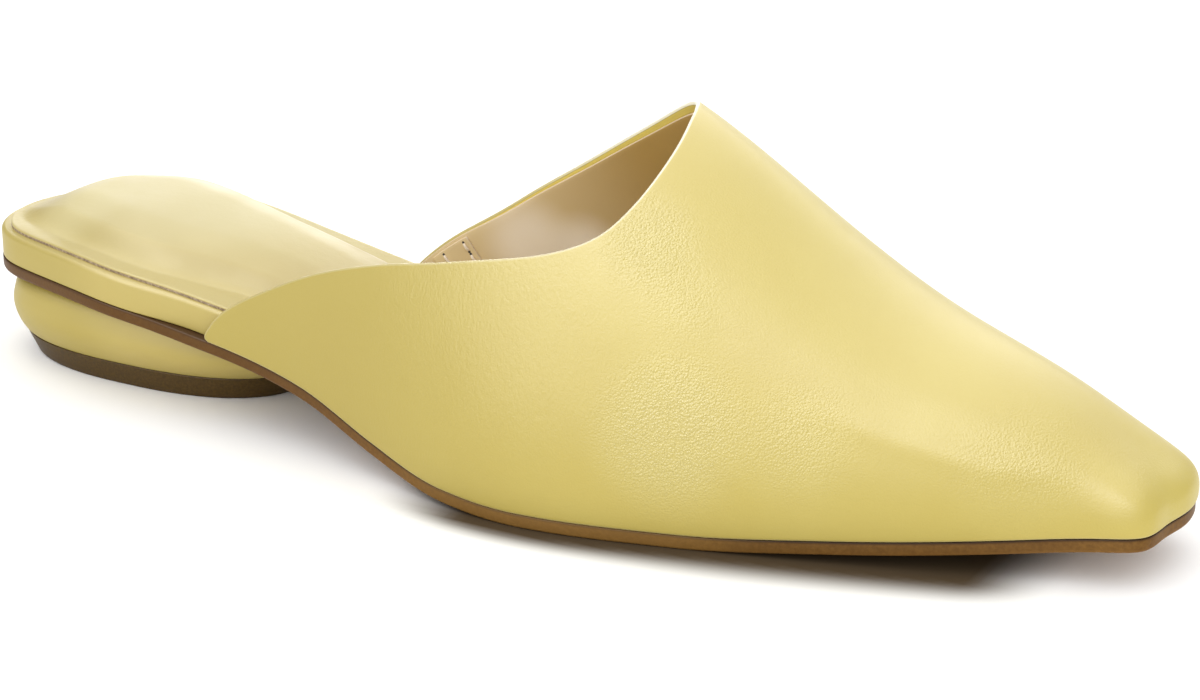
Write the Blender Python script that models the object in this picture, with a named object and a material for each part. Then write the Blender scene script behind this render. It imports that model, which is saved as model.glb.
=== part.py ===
"""A right-foot mule with a pointed, square-cut toe, an open back and a low pebble heel.

The shoe lies along X with its toe on +X. +Y is the medial side, that of the other foot, and +Z is up.
The origin is on the ground, in the middle of the shoe's box. Sizes are in millimetres up to the last
step, which turns them into metres. "Along" is measured from the back of the sole, "across" from the
line down the middle of the heel, and "height" from the ground.
"""

import bmesh
import bpy
import numpy as np

MM = 0.001

# Driving sizes. A pair is a stretch along the shoe over which one value gives way to another.
GAP = 0.3  # left between neighbouring pieces
UPPER_WALL = 1.8
TOP_PIECE_THICK = 5.0

SOLE_THICK = 2.8
SOLE_SHY = 0.4  # how far the sole's edge lies inside the outline, which the upper's edge follows
SEAT_SHY = 1.2  # the same, round the heel seat, where the edge is flush with the rim
SHY_CHANGE = (50.0, 70.0)
SOLE_EDGE_BEVEL = 0.6
SEAT_EDGE_BEVEL = 1.0  # the same, round the heel seat
BEVEL_CHANGE = (80.0, 110.0)

RIM_HEIGHT = 6.4  # of the covered board that shows as a rim round the heel
FOREPART_HEIGHT = 3.2  # of the same board under the ball of the foot
BOARD_TAPER = (95.0, 155.0)
RIM_ROUNDING = 0.9
RIM_INSET = 1.3  # from the outline to the board's edge, where it shows
BOARD_CLEARANCE = 0.5  # from the board's edge to the upper's wall, where the upper hides it
BOARD_TUCK = (50.0, 66.0)

SOCK_INSET = 3.4  # from the outline to the sock's edge, round the heel
SOCK_CLEARANCE = 1.5  # from the sock's edge to the upper's wall, in the forepart
SOCK_TUCK = (78.0, 108.0)
SOCK_EDGE = 0.9  # thickness of the sock at its edge
PAD_CROWN = 6.0  # that the sock's padding rises above that
PAD_BORDER = {"lateral": (7.5, 11.5), "medial": (4.8, 8.6)}  # from outline to padding, at the seat and waist
PAD_WAIST = {"lateral": (50.0, 80.0), "medial": (30.0, 68.0)}
PAD_SLOPE = {"lateral": 9.0, "medial": 7.2}
PAD_BACK = 4.0
PAD_BACK_SLOPE = 19.5
PAD_END = (60.0, 130.0)
PAD_DOME = 0.24  # the share of its height that the crown loses towards its sides

ORIGIN_ALONG = 135.41
ORIGIN_ACROSS = -3.04

# The sole's outline
OUTLINE_COLUMNS = ("along", "lateral", "medial")
OUTLINE = (
    (8.0, 16.2, 14.2),
    (18.0, 21.6, 21.7),
    (30.0, 25.6, 27.9),
    (45.0, 29.2, 28.6),
    (62.0, 28.6, 27.6),
    (95.0, 31.4, 25.5),
    (125.0, 39.6, 30.1),
    (151.0, 43.2, 35.4),
    (180.0, 37.9, 36.7),
    (212.0, 29.3, 30.0),
    (239.0, 20.9, 21.1),
    (257.0, 15.5, 16.3),
    (265.2, 12.9, 12.8),
    (266.8, 5.9, 10.2),
)
SEAT_BACK = (1.4, -2.3)
TOE_TIP = (268.2, 1.0)

# The sole's underside, seen from the side: heel seat, shank, the flat tread at the ball, toe spring
UNDERSIDE_COLUMNS = ("along", "height")
UNDERSIDE = (
    (0.0, 18.5),
    (35.0, 19.2),
    (70.0, 15.1),
    (95.0, 10.9),
    (115.0, 5.0),
    (134.0, 0.8),
    (150.0, 0.0),
    (182.0, 0.0),
    (210.0, 1.8),
    (240.0, 4.8),
    (270.0, 8.6),
)

# The upper's cross sections. Ridge is the line along its top; rise, lean and spread shape each side's
# curve from the feather edge up to the ridge: how far it climbs before it turns in, as a share of the
# height, how far it leans out on the way, and how wide the top is, as a share of the half width.
SECTION_COLUMNS = ("along", "ridge_height", "ridge_across", "rise", "lean", "spread")
SECTIONS = (
    (40.0, 91.6, 6.0, 0.35, 1.0, 0.50),
    (90.0, 89.6, 6.0, 0.35, 2.0, 0.50),
    (130.0, 83.6, 6.0, 0.38, 3.0, 0.50),
    (162.0, 72.1, 6.1, 0.42, 3.0, 0.52),
    (190.0, 54.3, 5.3, 0.45, 2.5, 0.59),
    (215.0, 40.6, 4.6, 0.48, 2.0, 0.66),
    (240.0, 31.1, 3.9, 0.50, 1.5, 0.72),
    (256.0, 22.7, 3.4, 0.52, 0.6, 0.76),
)
RIDGE_BACK = 40.0
RIDGE_FRONT = 259.2
RIDGE_GATHER = 12.0  # length of outline at the toe whose section lines draw together on the ridge
UPPER_BACK = {"lateral": 48.6, "medial": 46.0}  # where the section lines start
SIDE_RUN = 200.0  # from there to the toe, roughly
FINITE_STEP = 0.5  # for slopes and headings

# The topline: at each share of the way up a section line, the station where the upper starts
TOPLINE_COLUMNS = ("up", "lateral", "medial")
TOPLINE = (
    (0.00, 0.092, 0.163),
    (0.08, 0.112, 0.186),
    (0.17, 0.158, 0.2212),
    (0.26, 0.218, 0.2655),
    (0.34, 0.286, 0.3068),
    (0.43, 0.3935, 0.3565),
    (0.465, 0.4365, 0.3758),
    (0.50, 0.466, 0.3944),
    (0.60, 0.505, 0.4408),
    (0.74, 0.526, 0.4865),
    (0.88, 0.534, 0.5168),
    (1.00, 0.533, 0.533),
)

# The heel and its top piece, from the ground up; level 1 is the heel's top and 2 the sole's underside
HEEL_COLUMNS = ("level", "back", "front", "half_width")
HEEL = (
    (0.00, 9.6, 76.2, 19.5),
    (1.00, 6.6, 79.0, 20.6),
    (1.15, 5.7, 80.4, 22.2),
    (1.35, 5.2, 81.6, 23.9),
    (1.55, 5.2, 82.1, 24.7),
    (1.75, 5.9, 81.8, 24.4),
    (1.92, 7.4, 80.8, 23.4),
    (2.00, 9.4, 79.6, 22.2),
)
HEEL_ACROSS = 0.2
HEEL_SQUARENESS = 2.45

# Mesh fineness
SIDE_POINTS = 38  # along each side of a sole-shaped loop
HEEL_SIDE_POINTS = 22
CAP_COLUMNS = 4  # across a layer's flat end
PAD_COLUMNS = 9  # across the padding
UPPER_COLUMNS = 30  # on each side
UPPER_ROWS = 17
TOE_STATIONS = 0.85  # from here to the toe, the upper's mesh follows its section lines
OUTLINE_SAMPLES = 1600
CHORD_POWER = 0.75  # of the distance between a loop's points, in how fast it is run
TURN_WEIGHT = 0.5  # of a line's turns against its length, where points are set out along it
KEPT_SHARE = 0.97  # of an inset, that a drawn-in point must keep from the outline to stay
WELD = 1e-7
SHARP_ANGLE = 40.0


def table(columns, rows):
    return dict(zip(columns, np.array(rows, float).T))


def smooth_curve(xs, ys):
    """A function through the points with no jump in curvature."""
    xs, ys = np.asarray(xs, float), np.asarray(ys, float)
    step = np.diff(xs)
    count = len(xs)
    matrix, right = np.eye(count), np.zeros(count)
    for i in range(1, count - 1):
        matrix[i, i - 1 : i + 2] = step[i - 1], 2 * (step[i - 1] + step[i]), step[i]
        right[i] = 6 * ((ys[i + 1] - ys[i]) / step[i] - (ys[i] - ys[i - 1]) / step[i - 1])
    bend = np.linalg.solve(matrix, right)

    def at(x):
        k = np.clip(np.searchsorted(xs, x) - 1, 0, count - 2)
        t, h = x - xs[k], step[k]
        slope = (ys[k + 1] - ys[k]) / h - h * (2 * bend[k] + bend[k + 1]) / 6
        return ys[k] + t * (slope + t * (bend[k] / 2 + t * (bend[k + 1] - bend[k]) / (6 * h)))

    return at


def level_curve(xs, ys):
    """A function through the points that never passes them, and is flat between two equal ones."""
    xs, ys = np.asarray(xs, float), np.asarray(ys, float)
    step, rise = np.diff(xs), np.diff(ys) / np.diff(xs)
    slopes = np.concatenate([rise[:1], np.zeros(len(xs) - 2), rise[-1:]])
    for i in range(1, len(xs) - 1):
        if rise[i - 1] * rise[i] > 0:
            slopes[i] = 2 * rise[i - 1] * rise[i] / (rise[i - 1] + rise[i])

    def at(x):
        k = np.clip(np.searchsorted(xs, x) - 1, 0, len(xs) - 2)
        t = np.clip((x - xs[k]) / step[k], 0, 1)
        return (
            ys[k] * (1 + 2 * t) * (1 - t) ** 2
            + ys[k + 1] * t**2 * (3 - 2 * t)
            + step[k] * (slopes[k] * t * (1 - t) ** 2 - slopes[k + 1] * t**2 * (1 - t))
        )

    return at


def closed_curve(points, samples):
    """Points along one smooth loop through those given, and where each of those falls among them."""
    points = np.asarray(points, float)
    count = len(points)
    step = np.linalg.norm(np.roll(points, -1, 0) - points, axis=1) ** CHORD_POWER
    matrix, right = np.zeros((count, count)), np.zeros((count, 2))
    for i in range(count):
        before, after = step[i - 1], step[i]
        ahead = (i + 1) % count
        matrix[i, i - 1] += before
        matrix[i, i] += 2 * (before + after)
        matrix[i, ahead] += after
        right[i] = 6 * ((points[ahead] - points[i]) / after - (points[i] - points[i - 1]) / before)
    bend = np.linalg.solve(matrix, right)
    ends = np.concatenate([[0], np.cumsum(step)])
    u = np.linspace(0, ends[-1], samples, endpoint=False)
    k = np.clip(np.searchsorted(ends, u, side="right") - 1, 0, count - 1)
    ahead = (k + 1) % count
    t, h = (u - ends[k])[:, None], step[k][:, None]
    slope = (points[ahead] - points[k]) / h - h * (2 * bend[k] + bend[ahead]) / 6
    curve = points[k] + t * (slope + t * (bend[k] / 2 + t * (bend[ahead] - bend[k]) / (6 * h)))
    return curve, np.round(ends[:-1] / ends[-1] * samples).astype(int)


def ease(x, start, end):
    """0 before start, 1 after end, and smooth between."""
    t = np.clip((x - start) / (end - start), 0, 1)
    return t * t * (3 - 2 * t)


def arc_lengths(points):
    return np.concatenate([[0], np.cumsum(np.linalg.norm(np.diff(points, axis=0), axis=1))])


def along_arc(points, lengths, at):
    return np.stack([np.interp(at, lengths, points[:, i]) for i in range(points.shape[1])], -1)


# ---- the last's shape --------------------------------------------------------------------------

outline_table = table(OUTLINE_COLUMNS, OUTLINE)
lateral_points = np.column_stack([outline_table["along"], -outline_table["lateral"]])
medial_points = np.column_stack([outline_table["along"], outline_table["medial"]])
outline, outline_marks = closed_curve(
    np.vstack([[SEAT_BACK], lateral_points, [TOE_TIP], medial_points[::-1]]), OUTLINE_SAMPLES
)
tip_mark = outline_marks[len(OUTLINE) + 1]
outline_lateral = outline[: tip_mark + 1]
outline_medial = np.vstack([outline[tip_mark:], outline[:1]])[::-1]

underside_table = table(UNDERSIDE_COLUMNS, UNDERSIDE)
underside = level_curve(underside_table["along"], underside_table["height"])

section_table = table(SECTION_COLUMNS, SECTIONS)
section = {
    name: smooth_curve(section_table["along"], section_table[name]) for name in SECTION_COLUMNS[1:]
}

topline_table = table(TOPLINE_COLUMNS, TOPLINE)
topline = {
    side: smooth_curve(topline_table["up"], topline_table[side]) for side in ("lateral", "medial")
}


def feather_height(along):
    """Where the upper's lower edge stands on the sole."""
    return underside(along) + SOLE_THICK + GAP


def gathered(back_from_toe):
    return back_from_toe - RIDGE_GATHER * (1 - np.exp(-back_from_toe / RIDGE_GATHER))


def upper_edge(side):
    """The outline under one side of the upper, its lengths, and the length where section lines start."""
    edge = outline_lateral if side == "lateral" else outline_medial
    lengths = arc_lengths(edge)
    return edge, lengths, np.interp(UPPER_BACK[side], edge[:, 0], lengths)


def upper_point(side, station, up):
    """A point on the upper's outer face. Station runs from 0 at the back to 1 at the toe, and up
    from 0 at the feather edge to 1 on the ridge, along a cubic curve."""
    edge, lengths, back = upper_edge(side)
    at = back + (lengths[-1] - back) * station
    foot = along_arc(edge, lengths, at)
    run = along_arc(edge, lengths, at + FINITE_STEP) - along_arc(edge, lengths, at - FINITE_STEP)
    run /= np.linalg.norm(run, axis=-1, keepdims=True)
    turn = 1 if side == "lateral" else -1
    outward = np.stack([run[..., 1], -run[..., 0]], -1) * turn

    share = gathered((1 - station) * SIDE_RUN) / gathered(SIDE_RUN)
    ridge_along = RIDGE_FRONT - share * (RIDGE_FRONT - RIDGE_BACK)
    across, height = section["ridge_across"](ridge_along), section["ridge_height"](ridge_along)
    rise, lean, spread = (section[name](ridge_along) for name in ("rise", "lean", "spread"))
    ahead, behind = ridge_along + FINITE_STEP, ridge_along - FINITE_STEP
    fall = section["ridge_height"](ahead) - section["ridge_height"](behind)
    fall /= 2 * FINITE_STEP

    start = np.concatenate([foot, feather_height(foot[..., :1])], -1)
    end = np.stack([ridge_along, across, height], -1)
    climb = (height - start[..., 2]) * rise
    low = start + np.concatenate([outward * lean[..., None], climb[..., None]], -1)
    reach = (foot - end[..., :2]) * spread[..., None]
    high = end + np.concatenate([reach, (fall * reach[..., 0])[..., None]], -1)
    w = up[..., None]
    v = 1 - w
    return start * v**3 + low * 3 * w * v**2 + high * 3 * w**2 * v + end * w**3


# ---- loops and meshes --------------------------------------------------------------------------


def travel(points):
    """How far along an open line each point is, from 0 to 1 and counting its turns as length too."""
    lengths = arc_lengths(points)
    run = np.diff(points, axis=0)
    heading = np.unwrap(np.arctan2(run[:, 1], run[:, 0]))
    turned = np.concatenate([[0], np.cumsum(np.abs(np.diff(heading)))])
    turned = np.append(turned, turned[-1])
    measure = lengths / lengths[-1] + TURN_WEIGHT * turned / turned[-1]
    return measure / measure[-1]


def spaced(points, count):
    """That many points along an open line, closer together where it turns."""
    lengths = arc_lengths(points)
    at = np.interp(np.linspace(0, 1, count), travel(points), lengths)
    return along_arc(points, lengths, at)


def spaced_stations():
    """The upper's stations, closer together round the corners of the toe, and the same on both sides."""
    share = np.linspace(0, 1, OUTLINE_SAMPLES)
    measure = np.zeros_like(share)
    for side in ("lateral", "medial"):
        edge, lengths, back = upper_edge(side)
        part = along_arc(edge, lengths, back + (lengths[-1] - back) * share)
        measure += travel(part) / 2
    return np.interp(np.linspace(0, 1, UPPER_COLUMNS), measure, share)


def sole_loop(inset):
    """The outline drawn in by inset(along): first its lateral side, heel to toe, then its medial."""
    run = np.roll(outline, -1, 0) - np.roll(outline, 1, 0)
    run /= np.linalg.norm(run, axis=1, keepdims=True)
    drawn = outline + np.column_stack([-run[:, 1], run[:, 0]]) * inset(outline[:, 0])[:, None]
    apart = np.linalg.norm(drawn[:, None] - outline[None], axis=2).min(axis=1)
    kept = drawn[apart > KEPT_SHARE * inset(outline[:, 0])]
    kept = np.roll(kept, -kept[:, 0].argmin(), axis=0)
    toe = kept[:, 0].argmax()
    lateral = spaced(kept[: toe + 1], SIDE_POINTS)
    medial = spaced(np.vstack([kept[toe:], kept[:1]])[::-1], SIDE_POINTS)
    return lateral, medial


def heel_loop(back, front, half_width):
    """Half of a squared-off ellipse on each side."""
    turn = np.linspace(np.pi, 0, HEEL_SIDE_POINTS)
    power = 2 / HEEL_SQUARENESS
    share = np.sign(np.cos(turn)) * np.abs(np.cos(turn)) ** power
    along = (back + front) / 2 + (front - back) / 2 * share
    off = half_width * np.abs(np.sin(turn)) ** power
    return np.column_stack([along, HEEL_ACROSS - off]), np.column_stack([along, HEEL_ACROSS + off])


def drawn_in(loop, inset):
    """A loop moved inwards a little, point by point, by inset(along)."""
    lateral, medial = loop
    ring = np.vstack([lateral, medial[-2:0:-1]])
    run = np.roll(ring, -1, 0) - np.roll(ring, 1, 0)
    run /= np.linalg.norm(run, axis=1, keepdims=True)
    ring = ring + np.column_stack([-run[:, 1], run[:, 0]]) * inset(ring[:, 0])[:, None]
    count = len(lateral)
    return ring[:count], np.vstack([ring[:1], ring[: count - 2 : -1]])


def mesh_object(name, points, faces, finish, parent):
    mesh = bpy.data.meshes.new(name)
    placed = (np.asarray(points) - (ORIGIN_ALONG, ORIGIN_ACROSS, 0)) * MM
    mesh.from_pydata(placed.tolist(), [], faces)
    shape = bmesh.new()
    shape.from_mesh(mesh)
    bmesh.ops.remove_doubles(shape, verts=shape.verts, dist=WELD)
    bmesh.ops.dissolve_degenerate(shape, edges=shape.edges, dist=WELD)
    bmesh.ops.recalc_face_normals(shape, faces=shape.faces)
    shape.to_mesh(mesh)
    shape.free()
    mesh.shade_smooth()
    mesh.set_sharp_from_angle(angle=np.radians(SHARP_ANGLE))
    mesh.materials.append(finish)
    piece = bpy.data.objects.new(name, mesh)
    piece.parent = parent
    bpy.context.scene.collection.objects.link(piece)
    return piece


def grid_faces(rows, columns, first=0):
    return [
        (a, a + 1, a + columns + 1, a + columns)
        for row in range(rows - 1)
        for a in range(first + row * columns, first + row * columns + columns - 1)
    ]


def layered(name, rings, bottom, top, across, finish, parent):
    """A closed solid through rings, a list of (loop, height function) from the lowest up. Its two
    ends are filled by strips that run straight across from the lateral side to the medial."""
    points, faces = [], []
    count = len(rings[0][0][0])
    for (lateral, medial), height in rings:
        ring = np.vstack([lateral, medial[-2:0:-1]])
        points.append(np.column_stack([ring, height(ring[:, 0], ring[:, 1])]))
    around = 2 * count - 2
    for level in range(len(rings) - 1):
        for i in range(around):
            a, b = level * around + i, level * around + (i + 1) % around
            faces.append((a, b, b + around, a + around))
    first = len(rings) * around
    for (lateral, medial), height in ((rings[0][0], bottom), (rings[-1][0], top)):
        t = np.linspace(0, 1, across)[None, :, None]
        cap = (lateral[:, None] * (1 - t) + medial[:, None] * t).reshape(-1, 2)
        points.append(np.column_stack([cap, height(cap[:, 0], cap[:, 1])]))
        faces += grid_faces(count, across, first)
        first += count * across
    return mesh_object(name, np.vstack(points), faces, finish, parent)


def leather(name, colour, roughness):
    material = bpy.data.materials.new(name)
    material.use_nodes = True
    shader = material.node_tree.nodes["Principled BSDF"]
    shader.inputs["Base Color"].default_value = (*colour, 1)
    shader.inputs["Roughness"].default_value = roughness
    shader.inputs["Metallic"].default_value = 0
    return material


# ---- the pieces --------------------------------------------------------------------------------


def make_upper(finish, parent):
    """One wall, from the topline on the lateral side round the toe to that on the medial side, and
    closed over the ridge. It is open at the back and underneath."""
    rows = np.linspace(0, 1, UPPER_ROWS)[:, None]
    stations = spaced_stations()[None]
    halves = []
    for side in ("lateral", "medial"):
        start = topline[side](rows)
        squeezed = start + (TOE_STATIONS - start) * stations / TOE_STATIONS
        station = np.where(stations > TOE_STATIONS, stations, squeezed)
        halves.append(upper_point(side, station, np.broadcast_to(rows, station.shape)))
    skin = np.concatenate([halves[0], halves[1][:, -2::-1]], axis=1)
    piece = mesh_object(
        "upper", skin.reshape(-1, 3), grid_faces(UPPER_ROWS, skin.shape[1]), finish, parent
    )
    wall = piece.modifiers.new("wall", "SOLIDIFY")
    wall.thickness = UPPER_WALL * MM
    wall.offset = -1
    wall.use_even_offset = True
    wall.use_quality_normals = True
    return piece


def sole_shy(along):
    return SEAT_SHY + (SOLE_SHY - SEAT_SHY) * ease(along, *SHY_CHANGE)


def sole_bevel(along):
    return SEAT_EDGE_BEVEL + (SOLE_EDGE_BEVEL - SEAT_EDGE_BEVEL) * ease(along, *BEVEL_CHANGE)


def make_outsole(finish, parent):
    """The thin leather sole, its lower edge bevelled, and more so round the heel seat."""
    edge = sole_loop(sole_shy)
    low = drawn_in(edge, sole_bevel)

    def bottom(along, across):
        return underside(along)

    def bevel_top(along, across):
        return underside(along) + sole_bevel(along)

    def top(along, across):
        return underside(along) + SOLE_THICK

    rings = [(low, bottom), (edge, bevel_top), (edge, top)]
    return layered("outsole", rings, bottom, top, CAP_COLUMNS, finish, parent)


def board_top(along, across):
    thick = RIM_HEIGHT + (FOREPART_HEIGHT - RIM_HEIGHT) * ease(along, *BOARD_TAPER)
    return underside(along) + SOLE_THICK + thick


def make_midsole(finish, parent):
    """The covered board. It shows as the rim round the heel, and runs on inside the upper."""

    def inset(along):
        hidden = UPPER_WALL + BOARD_CLEARANCE
        return RIM_INSET + (hidden - RIM_INSET) * ease(along, *BOARD_TUCK)

    def foot(along, across):
        return underside(along) + SOLE_THICK + GAP

    def rounding(along):
        return np.full_like(along, RIM_ROUNDING)

    def below_top(along, across):
        return board_top(along, across) - RIM_ROUNDING

    loop = sole_loop(inset)
    rings = [(loop, foot), (loop, below_top), (drawn_in(loop, rounding), board_top)]
    return layered("midsole", rings, foot, board_top, CAP_COLUMNS, finish, parent)


def sock_inset(along):
    hidden = UPPER_WALL + SOCK_CLEARANCE
    return SOCK_INSET + (hidden - SOCK_INSET) * ease(along, *SOCK_TUCK)


def make_insole(finish, parent):
    """The padded sock, crowned over the heel and flat at its border."""
    loop = sole_loop(sock_inset)

    def foot(along, across):
        return board_top(along, across) + GAP

    def pad(along, across):
        lateral = across - np.interp(along, *outline_lateral.T)
        medial = np.interp(along, *outline_medial.T) - across
        edges, sides = {"lateral": lateral, "medial": medial}, 1.0
        for side, (seat, waist) in PAD_BORDER.items():
            edges[side] = edges[side] - seat - (waist - seat) * ease(along, *PAD_WAIST[side])
            sides = sides * ease(edges[side], 0, PAD_SLOPE[side])
        middle = np.clip(edges["lateral"] / np.maximum(edges["lateral"] + edges["medial"], 1), 0, 1)
        sides = sides * (1 - PAD_DOME * (1 - 2 * middle) ** 2)
        ends = ease(along - PAD_BACK, 0, PAD_BACK_SLOPE) * (1 - ease(along, *PAD_END))
        return foot(along, across) + SOCK_EDGE + PAD_CROWN * sides * ends

    rings = [(loop, foot), (loop, pad)]
    return layered("insole", rings, foot, pad, PAD_COLUMNS, finish, parent)


def heel_ring(level):
    heel_table = table(HEEL_COLUMNS, HEEL)
    sizes = [np.interp(level, heel_table["level"], heel_table[name]) for name in HEEL_COLUMNS[1:]]
    return heel_loop(*sizes)


def make_heel(finish, parent):
    """The covered heel block, bulging between the sole above it and the top piece below."""

    def height(level):
        def at(along, across):
            top = underside(along) - GAP
            low = TOP_PIECE_THICK + GAP
            return low + (top - low) * (level - 1)

        return at

    levels = [row[0] for row in HEEL if row[0] >= 1]
    rings = [(heel_ring(level), height(level)) for level in levels]
    return layered("heel", rings, height(1), height(2), CAP_COLUMNS, finish, parent)


def make_top_piece(finish, parent):
    """The flat piece that the heel walks on, drawn in a little towards the ground."""

    def height(level):
        return lambda along, across: np.full_like(along, level)

    rings = [(heel_ring(0), height(0)), (heel_ring(1), height(TOP_PIECE_THICK))]
    return layered("top_piece", rings, height(0), height(TOP_PIECE_THICK), CAP_COLUMNS, finish, parent)


def main():
    for old in list(bpy.data.objects):
        bpy.data.objects.remove(old, do_unlink=True)
    shoe = bpy.data.objects.new("shoe", None)
    bpy.context.scene.collection.objects.link(shoe)
    yellow = leather("yellow_leather", (0.80, 0.68, 0.27), 0.45)
    cream = leather("cream_leather", (0.83, 0.74, 0.43), 0.5)
    brown = leather("brown_sole_leather", (0.24, 0.12, 0.04), 0.5)
    dark = leather("dark_brown_rubber", (0.07, 0.045, 0.02), 0.5)
    make_upper(yellow, shoe)
    make_insole(cream, shoe)
    make_midsole(yellow, shoe)
    make_outsole(brown, shoe)
    make_heel(yellow, shoe)
    make_top_piece(dark, shoe)


main()
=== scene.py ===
# %% [markdown]
# # A pointed yellow mule
# A mule is a slip-on shoe with no back. This one has a closed vamp with a pointed, square-cut toe, a padded
# sock to stand on, a covered rim round the heel seat, a thin leather sole and a low heel like a pebble. The
# script dresses a plain CAD model of it: each CAD piece is stood in for by a finer one with a real edge, a
# lining or a seam, and gets a leather, sole or rubber finish. All of it is made in the CAD model's own frame:
# the toe is on +X, the inner side of this right shoe is on +Y, and the origin is on the ground.

import bmesh
import bpy
import numpy as np
from mathutils import Matrix, Vector


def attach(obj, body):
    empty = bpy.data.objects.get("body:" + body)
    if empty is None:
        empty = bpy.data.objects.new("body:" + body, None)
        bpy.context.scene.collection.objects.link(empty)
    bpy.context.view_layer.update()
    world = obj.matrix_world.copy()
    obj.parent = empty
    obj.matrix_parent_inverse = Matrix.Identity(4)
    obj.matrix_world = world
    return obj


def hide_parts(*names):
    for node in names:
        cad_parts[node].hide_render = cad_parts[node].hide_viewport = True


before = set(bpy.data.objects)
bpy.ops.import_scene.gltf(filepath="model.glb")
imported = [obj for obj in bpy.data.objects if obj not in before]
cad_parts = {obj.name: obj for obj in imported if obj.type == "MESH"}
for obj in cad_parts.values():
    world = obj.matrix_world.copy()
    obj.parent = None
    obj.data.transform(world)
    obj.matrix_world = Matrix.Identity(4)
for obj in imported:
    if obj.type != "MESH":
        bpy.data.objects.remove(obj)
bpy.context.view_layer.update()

# %% [markdown]
# ## The last, in numbers
# A last is the foot-shaped form that a shoe is pulled over, and it fixes nearly every shape here. The tables
# are the CAD model's own, in millimetres: "along" runs from the back of the sole, "across" from the middle
# of the heel, and "height" from the ground. A few rows and smooth curves through them are easier to change
# than a mesh, and they can be read at any fineness, so the pieces below use them with many more points.

# %% Outline and underside of the sole
MM = 0.001
ORIGIN = np.array([135.41, -3.04, 0.0])  # the frame's origin, in along, across and height

OUTLINE = (  # along, lateral half width, medial half width
    (8.0, 16.2, 14.2),
    (18.0, 21.6, 21.7),
    (30.0, 25.6, 27.9),
    (45.0, 29.2, 28.6),
    (62.0, 28.6, 27.6),
    (95.0, 31.4, 25.5),
    (125.0, 39.6, 30.1),
    (151.0, 43.2, 35.4),
    (180.0, 37.9, 36.7),
    (212.0, 29.3, 30.0),
    (239.0, 20.9, 21.1),
    (257.0, 15.5, 16.3),
    (265.2, 12.9, 12.8),
    (266.8, 5.9, 10.2),
)
SEAT_BACK = (1.4, -2.3)
TOE_TIP = (268.2, 1.0)
UNDERSIDE = (  # along, height
    (0.0, 18.5),
    (35.0, 19.2),
    (70.0, 15.1),
    (95.0, 10.9),
    (115.0, 5.0),
    (134.0, 0.8),
    (150.0, 0.0),
    (182.0, 0.0),
    (210.0, 1.8),
    (240.0, 4.8),
    (270.0, 8.6),
)

# %% Sections and topline of the upper
SECTIONS = (  # along, ridge height, ridge across, rise, lean, spread
    (40.0, 91.6, 6.0, 0.35, 1.0, 0.50),
    (90.0, 89.6, 6.0, 0.35, 2.0, 0.50),
    (130.0, 83.6, 6.0, 0.38, 3.0, 0.50),
    (162.0, 72.1, 6.1, 0.42, 3.0, 0.52),
    (190.0, 54.3, 5.3, 0.45, 2.5, 0.59),
    (215.0, 40.6, 4.6, 0.48, 2.0, 0.66),
    (240.0, 31.1, 3.9, 0.50, 1.5, 0.72),
    (256.0, 22.7, 3.4, 0.52, 0.6, 0.76),
)
RIDGE_BACK = 40.0  # the ridge is the line along the top of the foot
RIDGE_FRONT = 259.2
RIDGE_GATHER = 12.0  # the section lines draw together over this length behind the toe
UPPER_BACK = {"lateral": 48.6, "medial": 46.0}  # where the section lines start
SIDE_RUN = 200.0  # and how long each side of the outline is from there, roughly
TOPLINE = (  # up, lateral station, medial station
    (0.00, 0.092, 0.163),
    (0.08, 0.112, 0.186),
    (0.17, 0.158, 0.2212),
    (0.26, 0.218, 0.2655),
    (0.34, 0.286, 0.3068),
    (0.43, 0.3935, 0.3565),
    (0.465, 0.4365, 0.3758),
    (0.50, 0.466, 0.3944),
    (0.60, 0.505, 0.4408),
    (0.74, 0.526, 0.4865),
    (0.88, 0.534, 0.5168),
    (1.00, 0.533, 0.533),
)
SIDES = ("lateral", "medial")

# %% [markdown]
# ## Smooth curves through a few numbers
# Blender has curve objects, but these curves are needed as plain functions, so that a point anywhere on the
# last can be asked for. One kind has no jump in its curvature, for a surface that catches the light. The
# other never passes its points, for the flat tread. A third kind closes on itself, for the sole's outline.

# %% Open curves
def cubic(t, length, start, finish, bend, bend_after):
    """A piece of curve, t along its length, from where it starts and finishes and how it bends there."""
    slope = (finish - start) / length - length * (2 * bend + bend_after) / 6
    return start + t * (slope + t * (bend / 2 + t * (bend_after - bend) / (6 * length)))


def smooth_curve(xs, ys):
    """A function through the points with no jump in curvature."""
    xs, ys = np.asarray(xs, float), np.asarray(ys, float)
    step = np.diff(xs)
    count = len(xs)
    matrix, right = np.eye(count), np.zeros(count)
    for i in range(1, count - 1):
        matrix[i, i - 1 : i + 2] = step[i - 1], 2 * (step[i - 1] + step[i]), step[i]
        right[i] = 6 * ((ys[i + 1] - ys[i]) / step[i] - (ys[i] - ys[i - 1]) / step[i - 1])
    bend = np.linalg.solve(matrix, right)

    def at(x):
        k = np.clip(np.searchsorted(xs, x) - 1, 0, count - 2)
        return cubic(x - xs[k], step[k], ys[k], ys[k + 1], bend[k], bend[k + 1])

    return at


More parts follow.
